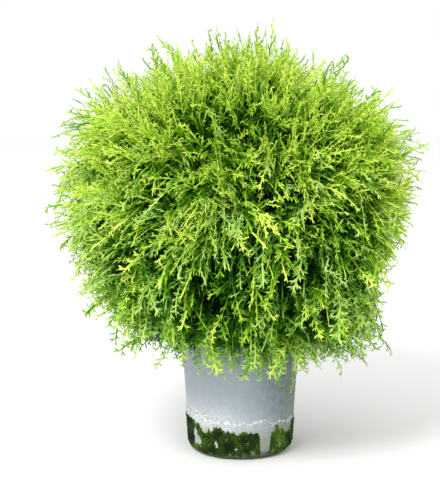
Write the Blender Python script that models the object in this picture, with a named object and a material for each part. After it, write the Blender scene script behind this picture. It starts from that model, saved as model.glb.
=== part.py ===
# A potted eastern arborvitae: a globe-shaped conifer in a round nursery pot.
# Metres, +Z up. The origin is the centre of the pot's flat underside, and -Y is the front.

import math
from random import Random

import bmesh
import bpy
from mathutils import Vector

# Gap kept between pieces that would otherwise touch
CLEARANCE = 0.0003

# Pot: a thin conical wall with a slightly proud rim band and a rounded foot
POT_HEIGHT = 0.173
POT_WALL = 0.0016
POT_FLOOR = 0.0024
POT_FOOT_RADIUS = 0.0640
POT_CORNER_HEIGHT = 0.0160
POT_CORNER_POINTS = 5
POT_RADIUS_AT_GROUND = 0.0762
POT_FLARE = 0.066              # growth of the wall's radius with height
POT_INNER_FOOT_RADIUS = 0.0725
POT_INNER_FILLET = 0.0060
POT_INNER_KNEE = 0.0200        # height at which the inside of the wall becomes straight
POT_BAND_LOW = 0.131
POT_BAND_PROUD = 0.0006
POT_BAND_STEP = 0.0005
POT_LIP_PROUD = 0.0004
POT_LIP_DEPTH = 0.0060
POT_LIP_ROUND = 0.0010
POT_SIDES = 40

# Soil: filled to a finger's width below the rim, flat where the trunk stands
SOIL_TOP = 0.158
SOIL_EDGE_DROP = 0.0025
SOIL_PAD_RADIUS = 0.024
SOIL_SHOULDER_RADIUS = 0.055
SOIL_SHOULDER_DROP = 0.0010

# Crown: an upright globe
CROWN_CENTRE = Vector((0.0, 0.0, 0.360))
CROWN_RADIUS = 0.271
CROWN_RISE = 0.264             # from the centre to the top
CROWN_DROP = 0.245             # from the centre to the lowest hanging tips
CROWN_ROUNDNESS_ABOVE = 2.05   # 2 is an ellipse, more is squarer
CROWN_ROUNDNESS_BELOW = 2.2

# Bulges and dips of the crown's outline: azimuth, elevation, and share added to the reach there
BULGES = (
    (180.0, 12.0, 0.035),
    (180.0, 36.0, 0.070),
    (180.0, -22.0, 0.015),
    (180.0, -41.0, -0.100),
    (180.0, -62.0, 0.080),
    (0.0, 89.0, 0.030),
    (0.0, 66.0, -0.045),
    (0.0, 27.0, 0.055),
    (0.0, 4.0, -0.045),
    (0.0, -12.0, -0.140),
    (0.0, -30.0, -0.205),
    (0.0, -46.0, 0.135),
    (0.0, -68.0, 0.070),
)
BULGE_WIDTH = math.radians(11)
BULGE_DEPTH = 0.45             # share of Y that counts, so that bulges are wider front to back

# Trunk: a short stem with a slight lean, hidden inside the crown
TRUNK_TOP = 0.405
TRUNK_FLARE_RADIUS = 0.0135
TRUNK_FLARE_HEIGHT = 0.010
TRUNK_FOOT_RADIUS = 0.0088
TRUNK_TIP_RADIUS = 0.0042
TRUNK_SWAY = 0.0030
TRUNK_LEAN = 0.0060
CUTTER_SPARE = 0.010           # how far the cutter that clears the trunk runs past its tip
TRUNK_SIDES = 9
TRUNK_RINGS = 8

# The open space round the trunk, which holds the boughs and no foliage
HEART_LOW = 0.190
HEART_HIGH = 0.375
HEART_RADIUS = 0.070

# Boughs, one for each mass of foliage
BOUGH_ROOT_RADIUS = 0.0031
BOUGH_TIP_RADIUS = 0.0019
BOUGH_SIDES = 6
BOUGH_RINGS = 5
BOUGH_STOP = 0.008             # a bough ends this far inside the heart, where its stem takes over
BOUGH_STEP = 0.0005
BOUGH_SAG = 0.012
BOUGH_STAGGER = 0.020          # height over which a ring's boughs leave the trunk

# Masses of foliage: ring name, elevation seen from the crown's centre, how many, azimuth of
# the first, height at which the boughs leave the trunk, and elevation at which they end
RINGS = (
    ("upper", 47.0, 5, -90.0, 0.334, 40.0),
    ("middle", 8.0, 7, -80.0, 0.272, -3.0),
    ("lower", -35.0, 6, -90.0, 0.206, -56.0),
)
MASS_DEPTH = 0.60              # place of a mass's centre, as a share of the crown's radius
CELL_MARGIN = 0.0006           # each mass stays this far inside its own space

# Core of a mass: a lumpy wedge that the sprays stand out of
CORE_REACH = 0.78              # share of the crown's radius
CORE_LUMPS = 0.18              # depth of the lumps, as a share of the core's reach
CORE_LOWEST = 0.205
CORE_MARGIN = 0.0016
CORE_LEAST_DEPTH = 0.030
CORE_INNER_TURN = 0.92         # width of the core at its inner face, as a share of the widest
CORE_SPOKES = 15
CORE_STEP = 0.002
CORE_TURN_STEP = math.radians(0.5)

# Stem of a mass, running on from its bough into the core
STEM_SIDES = 5
STEM_RINGS = 3
STEM_STRAIGHT = 0.03           # share of the stem that runs on straight from the bough
STEM_TIP_RADIUS = 0.0012

# Sprays: flat toothed blades on a three-sided stalk
SPRAY_COUNT = 200              # tips dealt evenly over the whole crown
SPRAY_REACH_LEAST = 0.97       # share of the crown's reach
SPRAY_REACH_MOST = 1.05
SPRAY_TEETH = 4
SPRAY_WIDTH = 0.031            # from the midrib to the longest tooth
SPRAY_POINT = 0.6              # length of the bare point beyond the last teeth, in steps
SPRAY_RIB = 0.0022
SPRAY_KEEL = 0.0030
SPRAY_TAPER = 0.45             # share of the rib and keel lost towards the tip
SPRAY_CURL = 0.12              # how far the teeth bend down, as a share of their length
SPRAY_GATHER = 0.22            # how far a spray's root is drawn in towards the middle of its mass
SPRAY_LEAN = 0.30
SPRAY_ROOT_DEPTH = 0.62        # place of the root between the core's inner and outer face
SPRAY_SPREAD = 0.12            # outward bend, as a share of the spray's length
SPRAY_ARCH = 0.45              # upward or downward bend, as a share of the length
SPRAY_WANDER = 0.07

# A spray that doesn't fit is tried again, shorter, narrower and nearer to its mass's middle
SPRAY_TRIES = 14
EASE_REACH = 0.10
EASE_WIDTH = 0.50
EASE_FOOT = 0.50
EASE_TIP = 0.30
SPRAY_PROBES = (0.0, 0.35, 0.70)  # places tested between each corner and the spray's middle
HEART_CLEARANCE = 0.0012

# A mass whose fused surface isn't sound is grown again from another seed
SPRAY_SEED = 61
REGROWTHS = 12
REGROWTH_SEEDS = 100
SOUND_GAP = 0.000001

# Rise of the sprays on the crown's upper part, and droop on its lower part
RISE_FROM = -0.25              # sine of the elevation
RISE_GAIN = 0.55
DROOP_FROM = -0.20
DROOP_GAIN = 1.10

# Foliage keeps out of this cylinder round the pot
POT_CLEAR_RADIUS = 0.0900
POT_CLEAR_TOP = 0.178


def plain_material(name, colour, roughness):
    material = bpy.data.materials.new(name)
    material.use_nodes = True
    shader = material.node_tree.nodes["Principled BSDF"]
    shader.inputs["Base Color"].default_value = (*colour, 1.0)
    shader.inputs["Roughness"].default_value = roughness
    shader.inputs["Metallic"].default_value = 0.0
    return material


def new_object(name, mesh, material, collection=None):
    thing = bpy.data.objects.new(name, mesh)
    thing.data.materials.append(material)
    (collection or bpy.context.scene.collection).objects.link(thing)
    return thing


def mesh_from(name, points, faces):
    """A closed mesh whose faces all point out."""
    mesh = bpy.data.meshes.new(name)
    mesh.from_pydata([tuple(p) for p in points], [], faces)
    shape = bmesh.new()
    shape.from_mesh(mesh)
    bmesh.ops.recalc_face_normals(shape, faces=shape.faces)
    shape.to_mesh(mesh)
    shape.free()
    return mesh


def shade_round(mesh):
    mesh.shade_smooth()
    mesh.set_sharp_from_angle(angle=math.radians(35))


def turned_object(name, profile, sides, material):
    """A turned solid. The profile is (radius, height) pairs, up the inside and down the outside."""
    mesh = bpy.data.meshes.new(name)
    edges = [(i, i + 1) for i in range(len(profile) - 1)]
    mesh.from_pydata([(radius, 0.0, height) for radius, height in profile], edges, [])
    thing = new_object(name, mesh, material)
    screw = thing.modifiers.new("Turn", "SCREW")
    screw.steps = sides
    screw.render_steps = sides
    screw.use_merge_vertices = True
    screw.merge_threshold = 0.0001
    apply_modifiers(thing)
    shade_round(thing.data)
    return thing


def apply_modifiers(thing):
    graph = bpy.context.evaluated_depsgraph_get()
    mesh = bpy.data.meshes.new_from_object(thing.evaluated_get(graph))
    old = thing.data
    thing.modifiers.clear()
    thing.data = mesh
    mesh.name = thing.name
    bpy.data.meshes.remove(old)


def keep_one_body(mesh):
    """Drop loose scraps and the walls of sealed hollows, and keep the largest body."""
    shape = bmesh.new()
    shape.from_mesh(mesh)
    bodies = []
    seen = set()
    for first in shape.faces:
        if first in seen:
            continue
        body = []
        waiting = [first]
        seen.add(first)
        while waiting:
            face = waiting.pop()
            body.append(face)
            for edge in face.edges:
                for near in edge.link_faces:
                    if near not in seen:
                        seen.add(near)
                        waiting.append(near)
        bodies.append(body)
    bodies.sort(key=lambda body: sum(face.calc_area() for face in body))
    for scrap in bodies[:-1]:
        bmesh.ops.delete(shape, geom=scrap, context="FACES")
    bmesh.ops.triangulate(shape, faces=shape.faces)
    shape.to_mesh(mesh)
    shape.free()


def wall_radius(height):
    return POT_RADIUS_AT_GROUND + POT_FLARE * height


def make_pot(material):
    top = POT_HEIGHT
    inner_wall = wall_radius(top) - POT_WALL
    lip = wall_radius(top) + POT_BAND_PROUD + POT_LIP_PROUD
    profile = [
        (0.0, POT_FLOOR),
        (POT_INNER_FOOT_RADIUS - POT_INNER_FILLET, POT_FLOOR),
        (POT_INNER_FOOT_RADIUS, POT_FLOOR + POT_INNER_FILLET),
        (wall_radius(POT_INNER_KNEE) - POT_WALL, POT_INNER_KNEE),
        (inner_wall, top - POT_LIP_ROUND),
        (inner_wall + POT_LIP_ROUND / 2, top),
        (lip - POT_LIP_ROUND / 2, top),
        (lip, top - POT_LIP_ROUND),
        (lip - POT_LIP_PROUD, top - POT_LIP_DEPTH),
        (wall_radius(POT_BAND_LOW) + POT_BAND_PROUD, POT_BAND_LOW + POT_BAND_STEP),
        (wall_radius(POT_BAND_LOW), POT_BAND_LOW - POT_BAND_STEP),
    ]
    corner_radius = wall_radius(POT_CORNER_HEIGHT)
    for step in range(POT_CORNER_POINTS + 1):
        turn = math.pi / 2 * step / POT_CORNER_POINTS
        radius = POT_FOOT_RADIUS + (corner_radius - POT_FOOT_RADIUS) * math.cos(turn)
        height = POT_CORNER_HEIGHT * (1 - math.sin(turn))
        profile.append((radius, height))
    profile.append((0.0, 0.0))
    return turned_object("pot", profile, POT_SIDES, material)


def make_soil(material):
    low = POT_FLOOR + CLEARANCE
    foot = POT_INNER_FOOT_RADIUS - CLEARANCE
    edge = SOIL_TOP - SOIL_EDGE_DROP
    profile = [
        (0.0, SOIL_TOP),
        (SOIL_PAD_RADIUS, SOIL_TOP),
        (SOIL_SHOULDER_RADIUS, SOIL_TOP - SOIL_SHOULDER_DROP),
        (wall_radius(edge) - POT_WALL - CLEARANCE, edge),
        (wall_radius(POT_INNER_KNEE) - POT_WALL - CLEARANCE, POT_INNER_KNEE + CLEARANCE),
        (foot, low + POT_INNER_FILLET),
        (foot - POT_INNER_FILLET, low),
        (0.0, low),
    ]
    return turned_object("soil", profile, POT_SIDES, material)


def trunk_centre(height):
    """The middle of the trunk at a height: it leans a little and sways once."""
    share = (height - SOIL_TOP) / (TRUNK_TOP - SOIL_TOP)
    lean = TRUNK_LEAN * share
    sway = TRUNK_SWAY * math.sin(2 * math.pi * share)
    return Vector((sway - lean * 0.5, lean - sway * 0.4, height))


def trunk_radius(height):
    share = (height - SOIL_TOP) / (TRUNK_TOP - SOIL_TOP)
    taper = TRUNK_FOOT_RADIUS + (TRUNK_TIP_RADIUS - TRUNK_FOOT_RADIUS) * share
    flare = math.exp(-(height - SOIL_TOP) / TRUNK_FLARE_HEIGHT)
    return taper + (TRUNK_FLARE_RADIUS - TRUNK_FOOT_RADIUS) * flare


def tube_mesh(name, centres, radii, sides, level_ends=False):
    """A tapering limb through a line of centres, with flat ends."""
    points = []
    count = len(centres)
    side = Vector((0.31, 0.95, 0.07)).normalized()
    for ring in range(count):
        ahead = centres[min(ring + 1, count - 1)] - centres[max(ring - 1, 0)]
        ahead = Vector((0.0, 0.0, 1.0)) if level_ends else ahead.normalized()
        side = (side - ahead * side.dot(ahead)).normalized()
        across = ahead.cross(side)
        for corner in range(sides):
            turn = 2 * math.pi * corner / sides
            offset = side * math.cos(turn) + across * math.sin(turn)
            points.append(centres[ring] + offset * radii[ring])
    faces = [tuple(range(sides))]
    faces.append(tuple((count - 1) * sides + corner for corner in range(sides)))
    for ring in range(count - 1):
        low = ring * sides
        for corner in range(sides):
            following = (corner + 1) % sides
            faces.append((low + corner, low + following, low + sides + following, low + sides + corner))
    return mesh_from(name, points, faces)


def trunk_mesh(name, extra, low, high):
    heights = []
    for ring in range(TRUNK_RINGS + 1):
        share = (ring / TRUNK_RINGS) ** 1.5
        heights.append(low + (high - low) * share)
    centres = [trunk_centre(height) for height in heights]
    radii = [trunk_radius(height) + extra for height in heights]
    return tube_mesh(name, centres, radii, TRUNK_SIDES, level_ends=True)


def make_trunk(material):
    mesh = trunk_mesh("trunk", 0.0, SOIL_TOP + CLEARANCE, TRUNK_TOP)
    shade_round(mesh)
    return new_object("trunk", mesh, material)


def direction_of(azimuth, elevation):
    around = math.radians(azimuth)
    rise = math.radians(elevation)
    return Vector((math.cos(around) * math.cos(rise), math.sin(around) * math.cos(rise), math.sin(rise)))


def crown_reach(direction):
    """The distance from the crown's centre to its outline, in a direction."""
    across = math.hypot(direction.x, direction.y) / CROWN_RADIUS
    if direction.z > 0:
        upright = direction.z / CROWN_RISE
        power = CROWN_ROUNDNESS_ABOVE
    else:
        upright = -direction.z / CROWN_DROP
        power = CROWN_ROUNDNESS_BELOW
    swell = 1.0
    flattened = Vector((direction.x, direction.y * BULGE_DEPTH, direction.z))
    for azimuth, elevation, gain in BULGES:
        away = flattened.angle(direction_of(azimuth, elevation)) / BULGE_WIDTH
        swell += gain * math.exp(-away * away)
    return swell * (across ** power + upright ** power) ** (-1 / power)


def plan_masses():
    """Every mass of foliage, with its centre and the height of its bough on the trunk."""
    masses = [{"name": "top", "direction": Vector((0.0, 0.0, 1.0)), "bough_height": None}]
    for ring, elevation, count, first, height, end_elevation in RINGS:
        for number in range(count):
            azimuth = first + 360.0 / count * number
            stagger = BOUGH_STAGGER * (number * 2 % count / (count - 1) - 0.5)
            masses.append({
                "name": f"{ring}_{number + 1}",
                "direction": direction_of(azimuth, elevation),
                "bough_height": height + stagger,
                "bough_heading": direction_of(azimuth, end_elevation),
            })
    for mass in masses:
        mass["centre"] = CROWN_CENTRE + mass["direction"] * crown_reach(mass["direction"]) * MASS_DEPTH
    return masses


def room_in_cell(point, mass, masses):
    """How far a point is inside the space that is nearer to this mass than to any other."""
    room = 1.0
    for other in masses:
        if other is mass:
            continue
        apart = (other["centre"] - mass["centre"]).length
        nearer = (point - other["centre"]).length_squared - (point - mass["centre"]).length_squared
        room = min(room, nearer / (2 * apart))
    return room


def room_round_heart(point):
    height = min(max(point.z, HEART_LOW), HEART_HIGH)
    return (point - Vector((0.0, 0.0, height))).length - HEART_RADIUS


def clear_of_pot(point):
    return point.z > POT_CLEAR_TOP or math.hypot(point.x, point.y) > POT_CLEAR_RADIUS


def bough_line(mass):
    """Centres along a bough, from inside the trunk to where the mass's stem takes over."""
    foot = trunk_centre(mass["bough_height"])
    distance = 0.0
    while room_round_heart(CROWN_CENTRE + mass["bough_heading"] * distance) < -BOUGH_STOP:
        distance += BOUGH_STEP
    end = CROWN_CENTRE + mass["bough_heading"] * distance
    bend = foot.lerp(end, 0.5)
    bend.z -= BOUGH_SAG
    line = []
    for ring in range(BOUGH_RINGS):
        share = ring / (BOUGH_RINGS - 1)
        line.append(foot.lerp(bend, share).lerp(bend.lerp(end, share), share))
    return line


def make_bough(mass, material, cutter):
    name = f"bough_{mass['name']}"
    line = bough_line(mass)
    radii = []
    for ring in range(BOUGH_RINGS):
        share = ring / (BOUGH_RINGS - 1)
        radii.append(BOUGH_ROOT_RADIUS + (BOUGH_TIP_RADIUS - BOUGH_ROOT_RADIUS) * share)
    bough = new_object(name, tube_mesh(name, line, radii, BOUGH_SIDES), material)
    cut = bough.modifiers.new("Clear of the trunk", "BOOLEAN")
    cut.operation = "DIFFERENCE"
    cut.object = cutter
    apply_modifiers(bough)
    keep_one_body(bough.data)
    shade_round(bough.data)
    mass["stem_start"] = line[-1]
    mass["stem_heading"] = (line[-1] - line[-2]).normalized()
    return bough


def core_skin(direction):
    """Where a core ends in a direction from the crown's centre, before its lumps."""
    skin = crown_reach(direction) * CORE_REACH
    if direction.z < 0:
        skin = min(skin, (CROWN_CENTRE.z - CORE_LOWEST) / -direction.z)
    return skin


def core_start(direction):
    """Where a core begins in a direction from the crown's centre: clear of the open heart."""
    distance = 0.0
    while room_round_heart(CROWN_CENTRE + direction * distance) < CORE_MARGIN:
        distance += CORE_STEP
    return distance


def turned_from(mass, around, turn):
    """A direction that is turned away from the mass's own, towards one side of it."""
    axis = mass["direction"]
    side = axis.orthogonal().normalized()
    towards = side * math.cos(around) + axis.cross(side) * math.sin(around)
    return axis * math.cos(turn) + towards * math.sin(turn)


def widest_turn(mass, masses, around):
    """How far the core may open towards one side before it leaves its own space."""
    turn = 0.0
    while True:
        direction = turned_from(mass, around, turn + CORE_TURN_STEP)
        skin = core_skin(direction)
        if core_start(direction) + CORE_LEAST_DEPTH > skin:
            return turn
        if room_in_cell(CROWN_CENTRE + direction * skin, mass, masses) < CORE_MARGIN:
            return turn
        if room_in_cell(CROWN_CENTRE + direction * core_start(direction), mass, masses) < CORE_MARGIN:
            return turn
        turn += CORE_TURN_STEP


def core_mesh(mass, masses, draw):
    """A wedge of the crown with a lumpy outer face: three rings between an inner and an outer point."""
    points = []
    turns = []
    for spoke in range(CORE_SPOKES):
        around = 2 * math.pi * spoke / CORE_SPOKES
        turns.append((around, widest_turn(mass, masses, around)))

    def add(direction, distance):
        points.append(CROWN_CENTRE + direction * distance)

    for around, widest in turns:
        direction = turned_from(mass, around, widest * CORE_INNER_TURN)
        add(direction, core_start(direction))
    for around, widest in turns:
        direction = turned_from(mass, around, widest)
        add(direction, core_skin(direction) * (1 - CORE_LUMPS * draw.uniform(0.4, 1.0)))
    for around, widest in turns:
        direction = turned_from(mass, around, widest * draw.uniform(0.45, 0.65))
        add(direction, core_skin(direction) * (1 - CORE_LUMPS * draw.uniform(0.0, 0.8)))
    add(mass["direction"], core_start(mass["direction"]))
    add(mass["direction"], core_skin(mass["direction"]) * (1 - CORE_LUMPS * draw.uniform(0.2, 0.4)))

    inner_point = 3 * CORE_SPOKES
    outer_point = inner_point + 1
    faces = []
    for spoke in range(CORE_SPOKES):
        following = (spoke + 1) % CORE_SPOKES
        faces.append((inner_point, spoke, following))
        faces.append((outer_point, 2 * CORE_SPOKES + spoke, 2 * CORE_SPOKES + following))
        for ring in (0, CORE_SPOKES):
            faces.append((ring + spoke, ring + following, ring + CORE_SPOKES + following))
            faces.append((ring + spoke, ring + CORE_SPOKES + following, ring + CORE_SPOKES + spoke))
    return mesh_from("core", points, faces)


def stem_mesh(mass):
    """The stem that takes over 0.3 mm from its bough's tip and runs into the core."""
    heading = mass["stem_heading"]
    start = mass["stem_start"] + heading * CLEARANCE
    end = mass["centre"]
    bend = start + heading * (end - start).length * 0.5
    centres = [start]
    radii = [mass["stem_radius"]]
    for ring in range(STEM_RINGS):
        share = STEM_STRAIGHT + (1 - STEM_STRAIGHT) * ring / (STEM_RINGS - 1)
        centres.append(start.lerp(bend, share).lerp(bend.lerp(end, share), share))
        radii.append(mass["stem_radius"] + (STEM_TIP_RADIUS - mass["stem_radius"]) * share)
    return tube_mesh("stem", centres, radii, STEM_SIDES)


def spray_outline(share):
    """Half width of a spray along its blade: widest a third of the way up, then tapering."""
    return math.sin(math.pi * min(1.0, share * 0.9 + 0.17)) ** 0.8


def spray_shape(root, bend, tip, blade_from, width, face):
    """Points and faces of one toothed blade on its three-sided stalk."""
    def place(share):
        return root.lerp(bend, share).lerp(bend.lerp(tip, share), share)

    def frame(share):
        ahead = (place(min(1.0, share + 0.02)) - place(max(0.0, share - 0.02))).normalized()
        across = ahead.cross(face).normalized()
        return ahead, across, across.cross(ahead)

    stations = [0.0]
    for step in range(SPRAY_TEETH + 1):
        stations.append(blade_from + (1 - blade_from) * step / (SPRAY_TEETH + SPRAY_POINT))
    points = []
    for share in stations:
        ahead, across, above = frame(share)
        thin = 1.0 - SPRAY_TAPER * share
        centre = place(share)
        points.append(centre + across * SPRAY_RIB * thin)
        points.append(centre - across * SPRAY_RIB * thin)
        points.append(centre - above * SPRAY_KEEL * thin)
    faces = [(0, 1, 2)]
    for station in range(len(stations) - 1):
        here = station * 3
        then = here + 3
        faces.append((here, here + 1, then + 1, then))
        if station == 0:
            faces.append((here, then, then + 2, here + 2))
            faces.append((here + 1, then + 1, then + 2, here + 2))
            continue
        step = stations[station + 1] - stations[station]
        for side in (0, 1):
            reach = (station - 1 + 0.5) / SPRAY_TEETH
            share = min(0.98, stations[station] + step * (1.45 + 0.2 * side))
            ahead, across, above = frame(share)
            out = width * spray_outline(reach) * (1 if side == 0 else -1)
            tooth = len(points)
            points.append(place(share) + across * out - above * abs(out) * SPRAY_CURL)
            faces.append((here + side, tooth, then + side))
            faces.append((here + side, tooth, here + 2))
            faces.append((tooth, then + side, then + 2))
            faces.append((tooth, then + 2, here + 2))
    last = (len(stations) - 1) * 3
    end = len(points)
    points.append(tip)
    faces.append((last, last + 1, end))
    faces.append((last, end, last + 2))
    faces.append((last + 1, end, last + 2))
    return points, faces


def evenly_spread_directions(count):
    golden = math.pi * (3 - math.sqrt(5))
    for number in range(count):
        height = 1 - 2 * (number + 0.5) / count
        across = math.sqrt(1 - height * height)
        yield Vector((across * math.cos(golden * number), across * math.sin(golden * number), height))


def lean_of(direction):
    """How much a spray rises (or hangs, below 0) as it grows out, by its place on the crown."""
    rise = direction.z
    return RISE_GAIN * max(0.0, rise - RISE_FROM) - DROOP_GAIN * max(0.0, DROOP_FROM - rise)


def fits(points, mass, masses):
    centre = sum(points, Vector()) / len(points)
    for point in points:
        if room_in_cell(point, mass, masses) < CELL_MARGIN:
            return False
        for share in SPRAY_PROBES:
            probe = point.lerp(centre, share)
            if room_round_heart(probe) < HEART_CLEARANCE or not clear_of_pot(probe):
                return False
    return True


def try_spray(direction, mass, masses, draw):
    """One spray that reaches for the crown's outline, narrower and shorter with each try."""
    for attempt in range(SPRAY_TRIES):
        ease = attempt / SPRAY_TRIES
        lean = lean_of(direction)
        foot = direction.lerp(mass["direction"], SPRAY_GATHER)
        foot.z -= lean * SPRAY_LEAN
        foot = foot.lerp(mass["direction"], EASE_FOOT * ease).normalized()
        depth = core_start(foot)
        depth += (core_skin(foot) - depth) * SPRAY_ROOT_DEPTH
        root = CROWN_CENTRE + foot * depth
        heading = direction.lerp(mass["direction"], EASE_TIP * ease).normalized()
        reach = crown_reach(heading) * draw.uniform(SPRAY_REACH_LEAST, SPRAY_REACH_MOST - EASE_REACH * ease)
        tip = CROWN_CENTRE + heading * reach
        length = (tip - root).length
        bend = root.lerp(tip, 0.5)
        bend += Vector((direction.x, direction.y, 0.0)) * length * SPRAY_SPREAD
        bend.z -= lean * length * SPRAY_ARCH
        wander = Vector([draw.uniform(-1, 1) for axis in range(3)])
        bend += wander * length * SPRAY_WANDER
        width = SPRAY_WIDTH * draw.uniform(0.85, 1.1) * (1 - EASE_WIDTH * ease)
        face = Vector([draw.gauss(0, 1) for axis in range(3)])
        face = (face.normalized() * 0.8 + direction).normalized()
        blade_from = min(0.5, (core_skin(foot) - depth) / length)
        points, faces = spray_shape(root, bend, tip, blade_from, width, face)
        if fits(points, mass, masses):
            return points, faces
    return None


def is_sound(mesh):
    """True if no two parts of the surface touch or nearly touch along an edge."""
    shape = bmesh.new()
    shape.from_mesh(mesh)
    bmesh.ops.remove_doubles(shape, verts=shape.verts, dist=SOUND_GAP)
    sound = all(len(edge.link_faces) == 2 for edge in shape.edges)
    shape.free()
    return sound


def grow_mass(name, mass, masses, directions, material, draw):
    """Core, stem and sprays fused into one body, or None if the fused surface isn't sound."""
    loose = bpy.data.collections.new("loose")
    bpy.context.scene.collection.children.link(loose)
    new_object("stem", stem_mesh(mass), material, loose)
    core = core_mesh(mass, masses, draw)
    for direction in directions:
        spray = try_spray(direction, mass, masses, draw)
        if spray:
            new_object("spray", mesh_from("spray", *spray), material, loose)

    grown = None
    for solver in ("EXACT", "MANIFOLD"):
        body = new_object(name, core.copy(), material)
        union = body.modifiers.new("Fuse", "BOOLEAN")
        union.operation = "UNION"
        union.operand_type = "COLLECTION"
        union.collection = loose
        union.solver = solver
        apply_modifiers(body)
        keep_one_body(body.data)
        if is_sound(body.data):
            grown = body
            break
        bpy.data.objects.remove(body)

    for piece in list(loose.objects):
        bpy.data.objects.remove(piece)
    bpy.data.collections.remove(loose)
    return grown


def make_mass(mass, masses, directions, material):
    """A mass grown by the seeded rule, and grown again from the next seed if it isn't sound."""
    name = f"foliage_{mass['name']}"
    for regrowth in range(REGROWTHS):
        seed = SPRAY_SEED + masses.index(mass) + REGROWTH_SEEDS * regrowth
        body = grow_mass(name, mass, masses, directions, material, Random(seed))
        if body:
            print(name, len(body.data.polygons), "triangles, growth", regrowth + 1)
            return body
    raise ValueError(f"{name} has no sound growth")


def deal_directions(masses):
    """Give each evenly spread tip to the mass whose space it is in."""
    dealt = {mass["name"]: [] for mass in masses}
    for direction in evenly_spread_directions(SPRAY_COUNT):
        tip = CROWN_CENTRE + direction * crown_reach(direction)
        if not clear_of_pot(tip):
            continue
        owner = max(masses, key=lambda mass: room_in_cell(tip, mass, masses))
        dealt[owner["name"]].append(direction)
    return dealt


def main():
    for thing in list(bpy.data.objects):
        bpy.data.objects.remove(thing)

    plastic = plain_material("pot_plastic", (0.36, 0.42, 0.46), 0.55)
    compost = plain_material("soil_compost", (0.055, 0.035, 0.022), 0.95)
    bark = plain_material("bark", (0.16, 0.085, 0.045), 0.85)
    leaf = plain_material("scale_leaves", (0.17, 0.32, 0.045), 0.60)

    make_pot(plastic)
    make_soil(compost)
    make_trunk(bark)

    masses = plan_masses()
    clearance = trunk_mesh("trunk_clearance", CLEARANCE, SOIL_TOP, TRUNK_TOP + CUTTER_SPARE)
    cutter = new_object("trunk_clearance", clearance, bark)
    cutter.hide_render = True
    cutter.display_type = "WIRE"
    for mass in masses:
        if mass["bough_height"] is None:
            mass["stem_start"] = trunk_centre(TRUNK_TOP)
            mass["stem_heading"] = Vector((0.0, 0.0, 1.0))
            mass["stem_radius"] = TRUNK_TIP_RADIUS
        else:
            make_bough(mass, bark, cutter)
            mass["stem_radius"] = BOUGH_TIP_RADIUS
    bpy.data.objects.remove(cutter)

    dealt = deal_directions(masses)
    for mass in masses:
        make_mass(mass, masses, dealt[mass["name"]], leaf)


main()
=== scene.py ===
import math
import bpy
import numpy as np
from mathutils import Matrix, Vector, noise


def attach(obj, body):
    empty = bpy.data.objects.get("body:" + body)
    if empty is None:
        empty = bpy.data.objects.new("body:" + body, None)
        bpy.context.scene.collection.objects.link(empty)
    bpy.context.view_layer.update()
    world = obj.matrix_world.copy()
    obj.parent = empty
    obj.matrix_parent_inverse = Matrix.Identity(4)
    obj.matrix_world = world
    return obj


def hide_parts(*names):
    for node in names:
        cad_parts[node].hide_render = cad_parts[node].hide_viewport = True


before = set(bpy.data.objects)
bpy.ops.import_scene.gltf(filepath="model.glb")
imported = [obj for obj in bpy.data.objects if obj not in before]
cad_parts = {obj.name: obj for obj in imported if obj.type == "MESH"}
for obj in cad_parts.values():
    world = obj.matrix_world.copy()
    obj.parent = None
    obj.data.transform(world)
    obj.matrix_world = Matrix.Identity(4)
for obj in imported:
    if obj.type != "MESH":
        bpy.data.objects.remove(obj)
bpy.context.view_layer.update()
print("frame loaded,", len(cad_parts), "nodes")


# small helpers

def linear(srgb):
    # 0..255 screen colour to the linear colour a shader wants
    steps = [value / 255.0 for value in srgb]
    return [s / 12.92 if s <= 0.04045 else ((s + 0.055) / 1.055) ** 2.4 for s in steps] + [1.0]


def unit(vectors):
    return vectors / np.maximum(np.linalg.norm(vectors, axis=-1, keepdims=True), 1e-9)


def smooth(edgeLow, edgeHigh, value):
    share = np.clip((value - edgeLow) / (edgeHigh - edgeLow), 0.0, 1.0)
    return share * share * (3 - 2 * share)


def meshPiece(name, points, faces, materials, slots=None, flat=False):
    # faces is one array of triangles or of quads
    mesh = bpy.data.meshes.new(name)
    points = np.asarray(points, dtype=np.float32)
    faces = np.asarray(faces, dtype=np.int32)
    corners = faces.shape[1]
    mesh.vertices.add(len(points))
    mesh.vertices.foreach_set("co", points.ravel())
    mesh.loops.add(faces.size)
    mesh.loops.foreach_set("vertex_index", faces.ravel())
    mesh.polygons.add(len(faces))
    mesh.polygons.foreach_set("loop_start", np.arange(0, faces.size, corners, dtype=np.int32))
    for material in materials:
        mesh.materials.append(material)
    if slots is not None:
        mesh.polygons.foreach_set("material_index", np.asarray(slots, dtype=np.int32))
    mesh.update(calc_edges=True)
    mesh.validate()
    if flat:
        mesh.shade_flat()
    else:
        mesh.shade_smooth()
    piece = bpy.data.objects.new(name, mesh)
    bpy.context.scene.collection.objects.link(piece)
    return piece


def plainMaterial(name, srgb, roughness, specular=0.35, sheen=0.0):
    material = bpy.data.materials.new(name)
    material.use_nodes = True
    shader = material.node_tree.nodes["Principled BSDF"]
    shader.inputs["Base Color"].default_value = linear(srgb)
    shader.inputs["Roughness"].default_value = roughness
    shader.inputs["Specular IOR Level"].default_value = specular
    shader.inputs["Sheen Weight"].default_value = sheen
    return material


# camera, the photo's viewpoint: a little left of the plant and looking down on it

cameraSettings = {
    "place": (-0.0304, -2.0, 0.62),
    "lookDown": 8.72,
    "lens": 103.1,
}


def addCamera(settings):
    lens = bpy.data.cameras.new("photoCamera")
    lens.lens = settings["lens"]
    lens.sensor_width = 36.0
    lens.clip_start = 0.05
    camera = bpy.data.objects.new("photoCamera", lens)
    camera.location = settings["place"]
    camera.rotation_euler = (math.radians(90.0 - settings["lookDown"]), 0.0, 0.0)
    bpy.context.scene.collection.objects.link(camera)
    bpy.context.scene.camera = camera


# studio: pale floor, white room light, one large soft key from the upper left

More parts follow.
